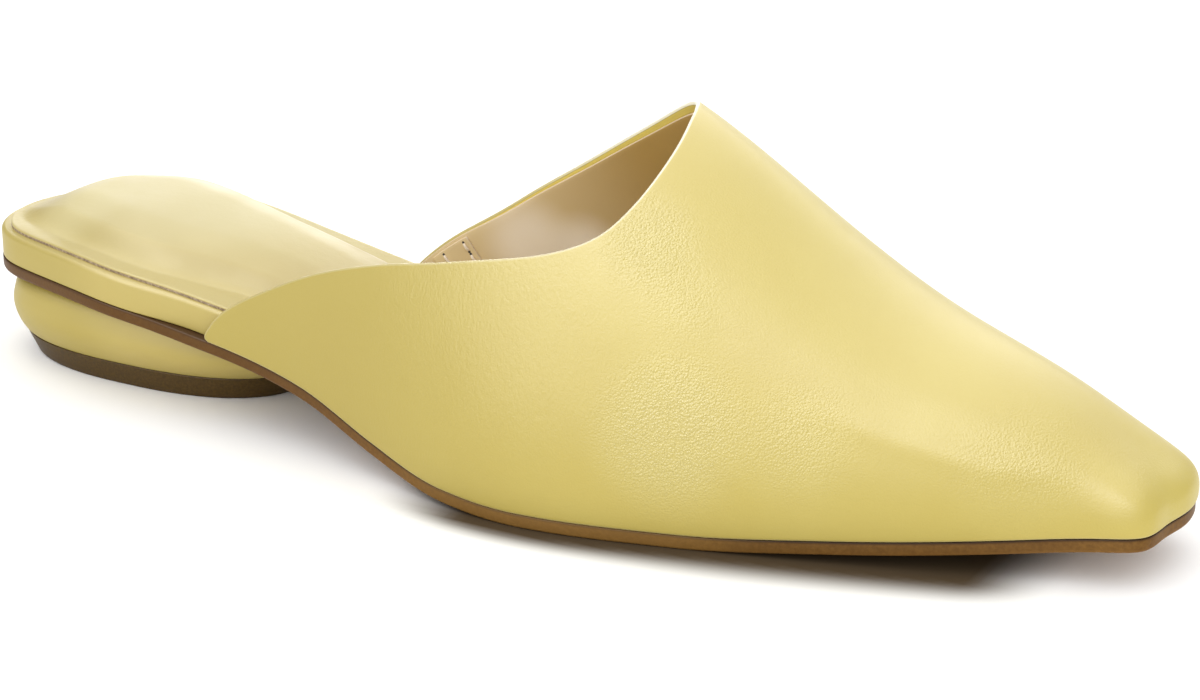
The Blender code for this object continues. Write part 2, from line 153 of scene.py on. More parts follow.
def level_curve(xs, ys):
    """A function through the points that never passes them, and is flat between two equal ones."""
    xs, ys = np.asarray(xs, float), np.asarray(ys, float)
    step, rise = np.diff(xs), np.diff(ys) / np.diff(xs)
    slopes = np.concatenate([rise[:1], np.zeros(len(xs) - 2), rise[-1:]])
    for i in range(1, len(xs) - 1):
        if rise[i - 1] * rise[i] > 0:
            slopes[i] = 2 * rise[i - 1] * rise[i] / (rise[i - 1] + rise[i])

    def at(x):
        k = np.clip(np.searchsorted(xs, x) - 1, 0, len(xs) - 2)
        t = np.clip((x - xs[k]) / step[k], 0, 1)
        bend = slopes[k] * t * (1 - t) ** 2 - slopes[k + 1] * t**2 * (1 - t)
        return ys[k] * (1 + 2 * t) * (1 - t) ** 2 + ys[k + 1] * t**2 * (3 - 2 * t) + step[k] * bend

    return at


# %% Closed curves, and small helpers on lines of points
TINY = 1e-12


def closed_curve(points, samples):
    """Points along one smooth loop through those given, and where each of those falls among them."""
    points = np.asarray(points, float)
    count = len(points)
    step = np.linalg.norm(np.roll(points, -1, 0) - points, axis=1) ** 0.75
    matrix, right = np.zeros((count, count)), np.zeros((count, 2))
    for i in range(count):
        before, after, ahead = step[i - 1], step[i], (i + 1) % count
        matrix[i, i - 1] += before
        matrix[i, i] += 2 * (before + after)
        matrix[i, ahead] += after
        right[i] = 6 * ((points[ahead] - points[i]) / after - (points[i] - points[i - 1]) / before)
    bend = np.linalg.solve(matrix, right)
    ends = np.concatenate([[0], np.cumsum(step)])
    u = np.linspace(0, ends[-1], samples, endpoint=False)
    k = np.clip(np.searchsorted(ends, u, side="right") - 1, 0, count - 1)
    ahead = (k + 1) % count
    t, length = (u - ends[k])[:, None], step[k][:, None]
    curve = cubic(t, length, points[k], points[ahead], bend[k], bend[ahead])
    return curve, np.round(ends[:-1] / ends[-1] * samples).astype(int)


def ease(x, start, end):
    """0 before start, 1 after end, and smooth between."""
    t = np.clip((x - start) / (end - start), 0, 1)
    return t * t * (3 - 2 * t)


def changing(x, first, second, span):
    """first before the span, second after it, and smooth between."""
    return first + (second - first) * ease(x, *span)


def unit(vectors):
    """The same directions, each of length 1."""
    return vectors / np.maximum(np.linalg.norm(vectors, axis=-1, keepdims=True), TINY)


def arc_lengths(points):
    return np.concatenate([[0], np.cumsum(np.linalg.norm(np.diff(points, axis=0), axis=1))])


def along_arc(points, lengths, at):
    return np.stack([np.interp(at, lengths, points[:, i]) for i in range(points.shape[1])], -1)


# %% The curves of this last
OUTLINE_SAMPLES = 1600
corners = np.array(OUTLINE)
lateral_points = corners[:, :2] * (1, -1)
medial_points = corners[:, [0, 2]]
outline, outline_marks = closed_curve(
    np.vstack([[SEAT_BACK], lateral_points, [TOE_TIP], medial_points[::-1]]), OUTLINE_SAMPLES
)
tip_mark = outline_marks[len(OUTLINE) + 1]
outline_lateral = outline[: tip_mark + 1]
outline_medial = np.vstack([outline[tip_mark:], outline[:1]])[::-1]
underside = level_curve(*np.array(UNDERSIDE).T)
section_rows = np.array(SECTIONS).T
ridge_height, ridge_across, rise_at, lean_at, spread_at = (
    smooth_curve(section_rows[0], row) for row in section_rows[1:]
)
topline_rows = np.array(TOPLINE).T
topline = {side: smooth_curve(topline_rows[0], row) for side, row in zip(SIDES, topline_rows[1:])}
print("outline of", len(outline), "points, toe at", outline[tip_mark].round(2))

# %% [markdown]
# ## A point anywhere on the upper
# The upper is one curved skin. Its section lines start on the sole's outline and climb to the ridge along
# the top of the foot. A point on it is named by a station, 0 at the back and 1 at the toe, and by how far up
# the section line it lies, 0 at the feather edge, where the upper meets the sole, and 1 on the ridge.

# %% The skin of the last
SOLE_THICK = 2.8
FEATHER_GAP = 0.55  # between the sole and the feather edge, with room for the upper's rolled edge


def feather_height(along):
    return underside(along) + SOLE_THICK + FEATHER_GAP


def gathered(back_from_toe):
    return back_from_toe - RIDGE_GATHER * (1 - np.exp(-back_from_toe / RIDGE_GATHER))


def upper_edge(side):
    """The outline under one side of the upper, its lengths, and the length where section lines start."""
    edge = outline_lateral if side == "lateral" else outline_medial
    lengths = arc_lengths(edge)
    return edge, lengths, np.interp(UPPER_BACK[side], edge[:, 0], lengths)


def upper_point(side, station, up):
    """A point on the upper's outer face."""
    station, up = np.broadcast_arrays(np.asarray(station, float), np.asarray(up, float))
    edge, lengths, back = upper_edge(side)
    at = back + (lengths[-1] - back) * station
    foot = along_arc(edge, lengths, at)
    run = unit(along_arc(edge, lengths, at + 0.5) - along_arc(edge, lengths, at - 0.5))
    outward = np.stack([run[..., 1], -run[..., 0]], -1) * (1 if side == "lateral" else -1)

    share = gathered((1 - station) * SIDE_RUN) / gathered(SIDE_RUN)
    ridge = RIDGE_FRONT - share * (RIDGE_FRONT - RIDGE_BACK)
    fall = ridge_height(ridge + 0.5) - ridge_height(ridge - 0.5)
    start = np.concatenate([foot, feather_height(foot[..., :1])], -1)
    end = np.stack([ridge, ridge_across(ridge), ridge_height(ridge)], -1)
    climb = (end[..., 2] - start[..., 2]) * rise_at(ridge)
    low = start + np.concatenate([outward * lean_at(ridge)[..., None], climb[..., None]], -1)
    reach = (foot - end[..., :2]) * spread_at(ridge)[..., None]
    high = end + np.concatenate([reach, (fall * reach[..., 0])[..., None]], -1)
    w = up[..., None]
    v = 1 - w
    return start * v**3 + low * 3 * w * v**2 + high * 3 * w**2 * v + end * w**3


# %% Steps into the upper from its topline
SMALL = 1e-3


def skin_steps(side, station, up):
    """How fast the skin moves as station changes, and as up does."""
    by_station = upper_point(side, station + SMALL, up) - upper_point(side, station - SMALL, up)
    by_up = upper_point(side, station, up + SMALL) - upper_point(side, station, up - SMALL)
    return by_station / (2 * SMALL), by_up / (2 * SMALL)


def inward_step(side, up):
    """How station and up change over a millimetre square to the topline, into the upper."""
    by_station, by_up = skin_steps(side, topline[side](up), up)
    slope = (topline[side](up + SMALL) - topline[side](up - SMALL)) / (2 * SMALL)
    edge = unit(by_up + by_station * slope[:, None])
    square = unit(by_station - edge * (by_station * edge).sum(1, keepdims=True))
    a, b, c = (by_station**2).sum(1), (by_station * by_up).sum(1), (by_up**2).sum(1)
    p, q = (square * by_station).sum(1), (square * by_up).sum(1)
    return (c * p - b * q) / (a * c - b * b), (a * q - b * p) / (a * c - b * b)


print("throat at", upper_point("lateral", TOPLINE[-1][1], 1.0).round(1))

# %% [markdown]
# ## From points to pieces
# Every piece is a grid of points in millimetres, turned into a mesh here. Points that meet are merged, once
# those that no face uses are gone, and faces are shaded smooth except across sharp edges. A number per point
# can mark a fold or a border for the finishes to read. The piece then rides on the shoe's one body.

# %% Make a piece
def make_piece(name, points, faces, finishes, face_finish=None, marks=None, sharp=50.0):
    mesh = bpy.data.meshes.new(name)
    mesh.from_pydata(((np.asarray(points) - ORIGIN) * MM).tolist(), [], np.asarray(faces).tolist())
    for finish in finishes:
        mesh.materials.append(finish)
    if face_finish is not None:
        mesh.polygons.foreach_set("material_index", np.asarray(face_finish, np.int32))
    for key, values in (marks or {}).items():
        layer = mesh.attributes.new(key, "FLOAT", "POINT")
        layer.data.foreach_set("value", np.asarray(values, np.float32))
    shape = bmesh.new()
    shape.from_mesh(mesh)
    bmesh.ops.delete(shape, geom=[v for v in shape.verts if not v.link_faces], context="VERTS")
    bmesh.ops.remove_doubles(shape, verts=shape.verts, dist=1e-7)
    bmesh.ops.dissolve_degenerate(shape, edges=shape.edges, dist=1e-7)
    bmesh.ops.delete(shape, geom=[v for v in shape.verts if not v.link_faces], context="VERTS")
    bmesh.ops.recalc_face_normals(shape, faces=shape.faces)
    shape.to_mesh(mesh)
    shape.free()
    mesh.shade_smooth()
    mesh.set_sharp_from_angle(angle=np.radians(sharp))
    piece = bpy.data.objects.new(name, mesh)
    bpy.context.scene.collection.objects.link(piece)
    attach(piece, "root")
    triangles = sum(len(p.vertices) - 2 for p in mesh.polygons)
    print(f"{name}: {triangles} triangles, {np.ptp(points, axis=0).round(1)} mm")
    return piece


# %% Grids and loops of points
TURN_WEIGHT = 0.5  # what all of a line's turns count for, against its length
OVERRUN = 0.97  # a drawn-in point nearer to the outline than this share of its inset has crossed over


def quads(index):
    """Faces between neighbours in a grid of point numbers."""
    return np.stack([index[:-1, :-1], index[:-1, 1:], index[1:, 1:], index[1:, :-1]], -1).reshape(-1, 4)


def grid_faces(rows, columns, first=0):
    return quads(np.arange(rows * columns).reshape(rows, columns) + first)


def travel(points):
    """How far along an open line each point is, from 0 to 1, with its turns counted as length too."""
    lengths = arc_lengths(points)
    run = np.diff(points, axis=0)
    heading = np.unwrap(np.arctan2(run[:, 1], run[:, 0]))
    turned = np.concatenate([[0], np.cumsum(np.abs(np.diff(heading)))])
    turned = np.append(turned, turned[-1])
    measure = lengths / lengths[-1] + TURN_WEIGHT * turned / turned[-1]
    return measure / measure[-1]


def spaced(points, count):
    """That many points along an open line, closer together where it turns."""
    lengths = arc_lengths(points)
    return along_arc(points, lengths, np.interp(np.linspace(0, 1, count), travel(points), lengths))


def ring_drawn_in(ring, inset):
    """A closed line with each of its points moved inwards by inset(along)."""
    run = unit(np.roll(ring, -1, 0) - np.roll(ring, 1, 0))
    return ring + np.column_stack([-run[:, 1], run[:, 0]]) * inset(ring[:, 0])[:, None]


def sole_loop(inset, count):
    """The outline drawn in by inset(along): first its lateral side, heel to toe, then its medial."""
    drawn = ring_drawn_in(outline, inset)
    apart = np.linalg.norm(drawn[:, None] - outline[None], axis=2).min(axis=1)
    kept = drawn[apart > OVERRUN * inset(outline[:, 0])]
    kept = np.roll(kept, -kept[:, 0].argmin(), axis=0)
    toe = kept[:, 0].argmax()
    return spaced(kept[: toe + 1], count), spaced(np.vstack([kept[toe:], kept[:1]])[::-1], count)


def drawn_in(loop, inset):
    """A loop moved inwards a little, point by point, by inset(along)."""
    lateral, medial = loop
    ring = ring_drawn_in(np.vstack([lateral, medial[-2:0:-1]]), inset)
    count = len(lateral)
    return ring[:count], np.vstack([ring[:1], ring[: count - 2 : -1]])


# %% A solid through rings, one above the other
def layered(rings, bottom, top, across):
    """Points, faces, and for each face which wall it belongs to: -1 is the bottom and -2 the top."""
    points, faces, walls = [], [], []
    count = len(rings[0][0][0])
    around = 2 * count - 2
    for (lateral, medial), height in rings:
        ring = np.vstack([lateral, medial[-2:0:-1]])
        points.append(np.column_stack([ring, height(ring[:, 0], ring[:, 1])]))
    here = np.arange(around)
    ahead = (here + 1) % around
    for level in range(len(rings) - 1):
        a, b = level * around + here, level * around + ahead
        faces.append(np.column_stack([a, b, b + around, a + around]))
        walls.append(np.full(around, level))
    first = len(rings) * around
    for mark, (lateral, medial), height in ((-1, rings[0][0], bottom), (-2, rings[-1][0], top)):
        t = np.linspace(0, 1, across)[None, :, None]
        cap = (lateral[:, None] * (1 - t) + medial[:, None] * t).reshape(-1, 2)
        points.append(np.column_stack([cap, height(cap[:, 0], cap[:, 1])]))
        faces.append(grid_faces(count, across, first))
        walls.append(np.full(len(faces[-1]), mark))
        first += count * across
    return np.vstack(points), np.vstack(faces), np.concatenate(walls)


# %% [markdown]
# ## Finishes
# Leather is a colour, a grain and a sheen that all vary a little, so each finish is a small piece of shader
# arithmetic. Written with Blender's nodes one by one it would be long, so a small class wraps the output of
# a node, and Python's own operators add the Math nodes. Textures are read in the shoe's own coordinates, in
# metres, so a grain of so many millimetres stays that size on each piece and needs no unwrapping.

# %% Shader arithmetic
class Wire:
    """The output of a shader node. Python's operators on it add Math nodes."""

    def __init__(self, tree, socket=None):
        self.tree = tree
        self.socket = socket

    def node(self, kind, settings, sockets, out=0):
        """Adds a node of this kind: its settings first, then the values or links of its sockets."""
        made = self.tree.nodes.new("ShaderNode" + kind)
        for name, value in settings.items():
            setattr(made, name, value)
        for key, value in sockets.items():
            if isinstance(value, Wire):
                self.tree.links.new(value.socket, made.inputs[key])
            else:
                made.inputs[key].default_value = value
        return Wire(self.tree, made.outputs[out])

    def mark(self, name):
        """The number that the mesh has at each point under this name."""
        return self.node("Attribute", {"attribute_name": name}, {}, 2)

    def math(self, operation, *values):
        return self.node("Math", {"operation": operation}, dict(enumerate(values)))

    def __add__(self, other):
        return self.math("ADD", self, other)

    __radd__ = __add__

    def __sub__(self, other):
        return self.math("SUBTRACT", self, other)

    def __rsub__(self, other):
        return self.math("SUBTRACT", other, self)

    def __mul__(self, other):
        return self.math("MULTIPLY", self, other)

    __rmul__ = __mul__

    def pick(self, low, high):
        """A colour: low where this is 0, high where it is 1."""
        return self.node("Mix", {"data_type": "RGBA"}, {0: self, 6: low, 7: high}, 2)

    def between(self, low, high):
        """0 below low, 1 above high and smooth between."""
        return self.node("MapRange", {"interpolation_type": "SMOOTHSTEP"}, {0: self, 1: low, 2: high})

    def noise(self, size, detail=2.0, rough=0.5):
        """Cloudy noise of that size in millimetres, read at this place."""
        sockets = {"Vector": self, "Scale": 1000 / size, "Detail": detail, "Roughness": rough}
        return self.node("TexNoise", {}, sockets)

    def pebbles(self, size):
        """0 in the middle of each cell of that size in millimetres, and more towards its border."""
        return self.node("TexVoronoi", {"feature": "F1"}, {"Vector": self, "Scale": 1000 / size})


# %% Start and end a finish
def linear(red, green, blue):
    """A colour given in the 0 to 255 of a colour picker, as the light it sends back."""
    share = np.array([red, green, blue]) / 255
    light = np.where(share <= 0.04045, share / 12.92, ((share + 0.055) / 1.055) ** 2.4)
    return (*light.tolist(), 1.0)


def begin(name):
    material = bpy.data.materials.new(name)
    material.use_nodes = True
    tree = material.node_tree
    place = Wire(tree).node("TexCoord", {}, {}, 3)
    return material, place


def end(material, colour, roughness, height=None, depth=0.0, **constants):
    """Links what varies to the shader, sets the rest, and turns height in millimetres into bump."""
    shader = material.node_tree.nodes["Principled BSDF"]
    links = material.node_tree.links
    for key, value in (("Base Color", colour), ("Roughness", roughness)):
        if isinstance(value, Wire):
            links.new(value.socket, shader.inputs[key])
        else:
            shader.inputs[key].default_value = value
    if height is not None:
        bump = height.node("Bump", {}, {"Strength": 1.0, "Distance": depth * MM, "Height": height})
        links.new(bump.socket, shader.inputs["Normal"])
    for key, value in constants.items():
        shader.inputs[key.replace("_", " ")].default_value = value
    return material


# %% [markdown]
# ## Yellow leather
# The upper is a fine, soft leather with a semi-matt finish. Its grain is made of pebbles about half a
# millimetre wide, low enough to show only where the light grazes or shines on it, and stronger in a few
# places where the skin was looser, which also carry a painted sheen that makes them paler. Cloudy noise makes
# the yellow a little deeper or paler from place to place, and one broad place carries painted shade. A mark
# called fold is 1 on a rolled edge, where the finish is thin and pale and a painted highlight lies on it,
# strongest as a glint along the far topline, and -1 on the inner face, which is painted a paler, stronger
# yellow as painted light where it lies in shade. The rim and the heel have the same leather, stretched
# smoother.

# %% Yellow leather
def near(place, spot, inner, outer):
    """1 within inner of a spot on the shoe, 0 beyond outer, all in millimetres."""
    centre = tuple(((np.array(spot) - ORIGIN) * MM).tolist())
    apart = place.node("VectorMath", {"operation": "DISTANCE"}, {0: place, 1: centre}, 1)
    return 1 - apart.between(inner * MM, outer * MM)


def tinted(colour, place, tints):
    """The colour, with others laid over it near some spots: spot, full within, none beyond, share, tint."""
    for spot, full, none, share, tint in tints:
        colour = (near(place, spot, full, none) * share).pick(colour, linear(*tint))
    return colour


def shifted(place, size, amount):
    """The same place, moved about by up to amount in a pattern of that size, in millimetres."""
    cloud = place.node("TexNoise", {}, {"Vector": place, "Scale": 1000 / size, "Detail": 1.0}, 1)
    sockets = {0: cloud, 1: (amount * MM,) * 3, 2: place}
    return place.node("VectorMath", {"operation": "MULTIPLY_ADD"}, sockets)


RIPPLED = ((140.0, -36.0, 34.0), 12, 42)  # a spot, full within, and none beyond
# where the painted highlight on the rolled edge is strongest, a glint along the far topline
FAR_FOLD_GLINT = ((160.0, 14.0, 68.0), 25, 60)
LOOSE_GRAIN_AND_SHEEN_PLACES = (  # where the grain is coarser and painted sheen pales it: spot, full within, none beyond, how much
    ((168.3, -21.9, 54.1), 2, 13, 0.8),
    ((177.0, -24.5, 44.0), 1, 11, 0.35),
    ((180.5, -35.8, 22.0), 6, 19, 1.0),
    ((203.0, -29.0, 22.0), 2, 15, 0.6),
    ((242.0, -17.5, 20.5), 3, 17, 0.4),
)


def yellow_leather(name, light, deep, grain_depth, roughness, painted_shade_place):
    material, place = begin(name)
    broad = place.noise(34, 2).between(0.36, 0.64)
    patches = place.noise(7, 3).between(0.3, 0.7)
    loose_and_sheen = 0.0
    for spot, full, none, amount in LOOSE_GRAIN_AND_SHEEN_PLACES:
        loose_and_sheen = near(place, spot, full, none) * amount + loose_and_sheen
    pebbles = shifted(place, 0.9, 0.28).pebbles(0.45)
    creases = shifted(place, 1.1, 0.32).noise(0.42, 2, 0.6)
    tall = {0: shifted(place, 2.0, 0.6), 1: (1.0, 1.0, 0.35)}
    ripples = place.node("VectorMath", {"operation": "MULTIPLY"}, tall).noise(0.6, 2, 0.55)
    grain = (1 - pebbles * 1.3) * (0.1 + 0.9 * loose_and_sheen) + creases * (0.12 + 0.6 * loose_and_sheen)
    grain = grain + ripples * near(place, *RIPPLED) * 0.8 + place.noise(0.3, 2, 0.6) * 0.15
    colour = (broad * 0.45 + patches * 0.18).pick(light, deep)
    colour = (pebbles * 0.12).pick(colour, deep)
    # painted sheen: the looser places are painted paler, as their coarser grain catching the light
    colour = (loose_and_sheen * 0.35).pick(colour, linear(200, 188, 128))
    # painted shade over one broad place
    colour = tinted(colour, place, [(*painted_shade_place, 0.85, (166, 148, 70))])
    fold = place.mark("fold")
    # the rolled edge painted pale: partly a thin pale finish, partly a painted highlight, strongest as a
    # glint along the far topline
    colour = (fold * (0.15 + 0.75 * near(place, *FAR_FOLD_GLINT))).pick(colour, linear(226, 220, 196))
    # painted light: the inner face is painted a paler, stronger yellow where it lies in shade
    colour = (0 - fold).pick(colour, linear(222, 202, 104))
    uneven = roughness + 0.08 * place.noise(5, 3) + pebbles * 0.05
    return end(material, colour, uneven, grain, grain_depth, Specular_IOR_Level=0.35)


vamp_yellows = linear(186, 169, 88), linear(180, 161, 78)
cover_yellows = linear(180, 162, 91), linear(174, 154, 80)
# the last value of each is the place of painted shade: low on the upper's outer side, and at the back of the
# heel
vamp_leather = yellow_leather("yellow_leather", *vamp_yellows, 0.13, 0.34, ((95, -36, 22), 8, 92))
cover_leather = yellow_leather("cover_leather", *cover_yellows, 0.03, 0.4, ((20, -21, 15), 12, 30))

# %% [markdown]
# ## Sock, lining, edges and thread
# The sock is a flatter leather than the upper, with fine ripples where it was pulled over its padding. It is
# paler on the crown of the pad and deeper on its flat border, with painted shade on its slopes and a painted
# sheen near its back and over its far side, so the finish reads a mark called border, 1 on the flat border
# and
# 0 on the crown. Its cut edge shows the grey-tan fibres under the finish. The lining is a smooth tan, with
# painted shade deep inside the toe and painted light near the stay on the inner side, and the thread is
# nearly white.

# %% Sock leather and its cut edge
# painted sheen: paler near the back of the pad and over its far side
SOCK_PAINTED_SHEEN = (
    ((25.0, -8.0, 31.0), 5, 14, 0.42, (206, 195, 146)),
    ((44.0, 12.0, 38.0), 15, 42, 0.6, (184, 173, 124)),
)


def sock_leather():
    material, place = begin("sock_leather")
    border = place.mark("border")
    broad = place.noise(16, 3).between(0.35, 0.65)
    colour = (broad * 0.4).pick(linear(181, 164, 100), linear(174, 156, 89))
    colour = (border * 0.5).pick(colour, linear(176, 159, 90))
    # painted shade on the pad's slopes, darkest halfway up
    colour = (border * (1 - border) * 1.8).pick(colour, linear(158, 138, 72))
    colour = tinted(colour, place, SOCK_PAINTED_SHEEN)
    ripples = shifted(place, 4.0, 1.5).noise(1.6, 2, 0.55) * (0.4 + border)
    grain = ripples + place.noise(0.4, 2, 0.6) * 0.3
    gloss = {"Specular_IOR_Level": 0.3, "Sheen_Weight": 0.12, "Sheen_Roughness": 0.4}
    return end(material, colour, 0.44 + 0.1 * broad, grain, 0.05, **gloss)


def cut_edge():
    material, place = begin("cut_edge")
    fibres = place.noise(0.7, 4, 0.7)
    colour = fibres.between(0.3, 0.75).pick(linear(122, 102, 78), linear(182, 164, 136))
    return end(material, colour, 0.85, fibres, 0.12, Specular_IOR_Level=0.2)


sock_finish = sock_leather()
cut_finish = cut_edge()


# %% Lining and thread
LINING_PAINTED_LIGHT = (  # painted shade deep inside the toe, and painted light near the stay
    ((172.0, 12.0, 62.0), 30, 68, 1.0, (178, 144, 80)),
    ((115.0, 27.5, 30.0), 3, 13, 0.8, (244, 230, 212)),
    ((127.0, 28.5, 29.0), 2, 11, 0.9, (244, 230, 212)),
)


def lining_leather():
    material, place = begin("lining_leather")
    broad = place.noise(22, 2).between(0.35, 0.65)
    colour = (broad * 0.4).pick(linear(216, 194, 150), linear(208, 180, 130))
    # painted shade deep inside the toe and painted light near the stay
    colour = tinted(colour, place, LINING_PAINTED_LIGHT)
    colour = (place.mark("fold") * 0.8).pick(colour, linear(206, 184, 152))
    grain = place.noise(0.6, 3, 0.6) + shifted(place, 6, 2).noise(5, 1) * 1.5
    return end(material, colour, 0.5 + 0.08 * broad, grain, 0.03, Specular_IOR_Level=0.35)


def thread_finish():
    material, place = begin("thread")
    strands = place.noise(0.25, 2, 0.6)
    colour = strands.between(0.3, 0.7).pick(linear(212, 192, 166), linear(236, 222, 200))
    return end(material, colour, 0.7, strands, 0.05)


lining_finish = lining_leather()
stitch_finish = thread_finish()
# painted shade: each needle hole is a small plug painted near-black for the shade inside the hole
hole_shade_finish = end(begin("needle_hole_shade")[0], (0.03, 0.02, 0.012, 1), 0.9)

# %% [markdown]
# ## Sole leather and rubber
# The sole's edge is trimmed, stained brown and polished. The stain is darkest along the top, where it runs
# into the seam, and this dark band also serves as painted shade in the seam; round the heel seat the edge
# carries painted shade. The bevel underneath is paler, and the outer side of the tread carries painted light.
# A number called rise, 0 at the bottom of the edge and 1 at the top, tells the finish where it is. The
# heel's top piece is a dark brown rubber with a soft shine.

# %% Sole leather
# painted light on the edge at the outer side of the tread, and painted shade round the heel seat
SOLE_PAINTED_LIGHT_AND_SHADE = (
    ((160.0, -40.0, 2.0), 20, 45, 0.45, (146, 110, 54)),
    ((20.0, -10.0, 12.0), 55, 110, 0.65, (80, 50, 8)),
)


def sole_leather():
    material, place = begin("sole_leather")
    rise = place.mark("rise")
    fibres = place.noise(0.8, 4, 0.65)
    cloud = place.noise(12, 2).between(0.3, 0.7)
    colour = (fibres.between(0.25, 0.75) * 0.7).pick(linear(98, 66, 20), linear(128, 91, 38))
    colour = (cloud * 0.35).pick(colour, linear(88, 58, 22))
    # a dark stain along the top of the edge, which also stands for painted shade in the seam
    colour = rise.between(0.74, 0.98).pick(colour, linear(52, 33, 14))
    colour = ((1 - rise.between(0.02, 0.3)) * 0.5).pick(colour, linear(140, 102, 54))
    colour = tinted(colour, place, SOLE_PAINTED_LIGHT_AND_SHADE)
    return end(material, colour, 0.42 + 0.15 * fibres, fibres, 0.06, Specular_IOR_Level=0.15)


def top_piece_rubber():
    material, place = begin("top_piece_rubber")
    speckle = place.noise(0.5, 3, 0.6)
    colour = speckle.between(0.3, 0.7).pick(linear(64, 46, 13), linear(78, 58, 20))
    return end(material, colour, 0.4 + 0.15 * speckle, speckle, 0.03, Specular_IOR_Level=0.2)


sole_finish = sole_leather()
rubber_finish = top_piece_rubber()
print("finishes:", [material.name for material in bpy.data.materials])

# %% [markdown]
# ## The vamp
# The real upper is one piece of leather, folded inwards along the topline and pulled under along the feather
# edge. A Solidify modifier would leave a square edge, and the thin pale line of the fold is one of the
# things that make the shoe look real. So the wall is built by hand: the outer skin, the same skin moved
# inwards, and between them, all round, a half circle swept along the edge. The rear lower corners are
# rounded first. A pulled leather is never quite smooth either, so a few soft ridges and troughs, a small part
# of a millimetre high, are laid over the outer side before the wall is made.

# %% Grids over the last
TOE_STATIONS = 0.85  # in front of this station the lines no longer lean back with the topline
CORNER_UP = 0.013  # how far up the rounding of the rear lower corners goes
CORNER_BACK = 0.004  # and how far forward


def upper_stations(count):
    """Stations closer together round the corners of the toe, and the same on both sides."""
    share = np.linspace(0, 1, OUTLINE_SAMPLES)
    measure = np.zeros_like(share)
    for side in SIDES:
        edge, lengths, back = upper_edge(side)
        measure += travel(along_arc(edge, lengths, back + (lengths[-1] - back) * share)) / 2
    return np.interp(np.linspace(0, 1, count), measure, share)


def upper_grid(start_of, rows, columns):
    """Points over both sides, from start_of(side) round the toe, on lines between feather and ridge."""
    stations = upper_stations(columns)[None]
    halves = []
    for side in SIDES:
        start = start_of(side)(rows)[:, None]
        squeezed = start + (TOE_STATIONS - start) * stations / TOE_STATIONS
        station = np.where(stations > TOE_STATIONS, stations, squeezed)
        halves.append(upper_point(side, station, rows[:, None]))
    return np.concatenate([halves[0], halves[1][:, -2::-1]], axis=1)


def rounded_start(side):
    """The station where the vamp starts, by how far up it is: the topline, with its lower corner rounded."""

    def at(up):
        short = np.clip(1 - up / CORNER_UP, 0, 1)
        return topline[side](up) + CORNER_BACK * (1 - np.sqrt(1 - short**2))

    return at


# %% A wall with a rolled edge
def shell(grid, depth, thick, joined=True, steps=8):
    """Points, faces and fold marks of a wall that lies depth inside a grid's skin.

    The marks are 0 on its outer face, 1 on its rolled edge and -1 on its inner face. A joined grid is one
    whose two sides meet in its last row.
    """
    rows, columns = grid.shape[:2]
    half = columns // 2
    index = np.arange(rows * columns).reshape(rows, columns)
    if joined:
        index[-1, half + 1 :] = index[-1, half - 1 :: -1]
    faces = quads(index)
    points = grid.reshape(-1, 3)
    corner = points[faces]
    facing = np.cross(corner[:, 2] - corner[:, 0], corner[:, 3] - corner[:, 1])
    normals = np.zeros_like(points)
    for k in range(4):
        np.add.at(normals, faces[:, k], facing)
    normals = unit(normals)
    top = [] if joined else [index[-1, 1:]]
    down = index[-2:0:-1, -1]
    loop = np.concatenate([index[0, ::-1], index[1:, 0], *top, down])
    edge = np.roll(points[loop], -1, 0) - np.roll(points[loop], 1, 0)
    away = unit(np.cross(normals[loop], edge))
    rings, marks = [], [np.zeros(len(points))]
    for turn in np.linspace(0, np.pi, steps)[1:-1]:
        inwards = depth + thick / 2 * (1 - np.cos(turn))
        rings.append(points[loop] + away * thick / 2 * np.sin(turn) - normals[loop] * inwards)
        marks.append(np.ones(len(loop)))
    count, around = len(points), len(loop)
    lines = [loop, *(count + k * around + np.arange(around) for k in range(len(rings)))]
    inner = count + len(rings) * around
    lines.append(inner + loop)
    strips = [np.column_stack([b, a, np.roll(a, -1), np.roll(b, -1)]) for a, b in zip(lines, lines[1:])]
    marks.append(-np.ones(len(points)))
    wall = [points - normals * depth, *rings, points - normals * (depth + thick)]
    return np.vstack(wall), np.vstack([faces, *strips, inner + faces[:, ::-1]]), np.concatenate(marks)


# %% Soft ridges and troughs of the vamp
CREASES = (  # height, half its width, and points that it runs through; a trough is a ridge below zero
    (0.32, 2.3, ((205.0, -27.0, 28.5), (221.0, -22.9, 23.7), (235.7, -19.9, 20.6), (247.5, -15.6, 19.9))),
    (-0.16, 2.6, ((214.0, -20.0, 31.0), (229.0, -15.0, 26.5), (243.0, -10.0, 23.0))),
    (-0.14, 2.2, ((172.0, -33.0, 33.0), (180.0, -36.5, 24.0), (186.0, -37.0, 15.0))),
    (0.14, 2.4, ((178.0, -30.5, 33.0), (187.0, -34.0, 24.0), (193.0, -35.0, 15.0))),
    (-0.12, 2.2, ((163.0, -24.0, 54.0), (170.0, -27.0, 45.0), (175.0, -30.5, 37.0))),
    (0.12, 2.4, ((168.0, -20.0, 55.0), (176.0, -23.5, 46.0), (182.0, -27.5, 38.0))),
)


def creased(grid):
    """The same grid, with its points moved out or in near the line of each crease."""
    out = unit(np.cross(np.gradient(grid, axis=1), np.gradient(grid, axis=0)))
    lift = np.zeros(grid.shape[:2])
    for height, half_width, through in CREASES:
        line = np.array(through)
        share = np.linspace(0, 1, 40)
        marks = np.linspace(0, 1, len(line))
        line = np.stack([np.interp(share, marks, line[:, i]) for i in range(3)], -1)
        fade = np.sin(np.pi * np.clip(share * 0.9 + 0.05, 0, 1)) ** 0.5
        apart = np.linalg.norm(grid[:, :, None] - line, axis=-1)
        lift += height * (fade * np.exp(-((apart / half_width) ** 2))).max(-1)
    return grid + out * lift[..., None]


